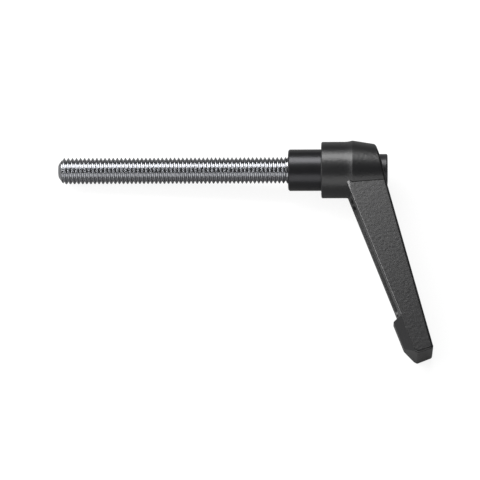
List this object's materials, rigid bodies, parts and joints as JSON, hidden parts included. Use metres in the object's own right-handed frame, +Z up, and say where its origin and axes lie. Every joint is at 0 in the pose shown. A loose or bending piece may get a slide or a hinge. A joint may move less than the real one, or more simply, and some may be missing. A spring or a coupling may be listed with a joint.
{
  "type": "adjustable clamping lever",
  "caption": "Black clamping lever with a tapered offset arm, a toothed hub that lifts to be reset, and a long bright threaded stud.",
  "frame": {"origin": "on the stud's axis, where the stud leaves the collar's clamping face", "axes": "+Z up from the surface that the lever lies on; +X along the stud from its end to the handle's top, apart from the few degrees by which the lever leans when it lies; the arm reaches towards -Y"},
  "size_m": [0.1133, 0.0682, 0.018],
  "materials": {
    "bright_steel": "bright zinc-plated threaded steel",
    "black_oxide_steel": "turned steel, black oxide, satin",
    "black_casting": "zinc die casting, fine satin black powder coat",
    "spring_steel": "plain drawn spring wire",
    "black_screw": "black steel, smooth and slightly glossy"
  },
  "bodies": {
    "stud": {"threaded_stud": "bright_steel", "toothed_insert": "black_oxide_steel", "retaining_screw": "black_screw"},
    "spring": {"spring": "spring_steel"},
    "handle": {"lever_handle": "black_casting"}
  },
  "joints": [
    {"name": "handle_lift", "type": "slide", "parent": "stud", "child": "spring", "axis": [0.9983, 0, 0.0576], "range_m": [0, 0.004], "stiffness_N_per_m": 800, "springref_m": -0.005, "deforming": ["spring"]},
    {"name": "handle_turn", "type": "hinge", "parent": "spring", "child": "handle", "pos_m": [0.01198, 0, 0.00069], "axis": [0.9983, 0, 0.0576], "continuous": true}
  ]
}
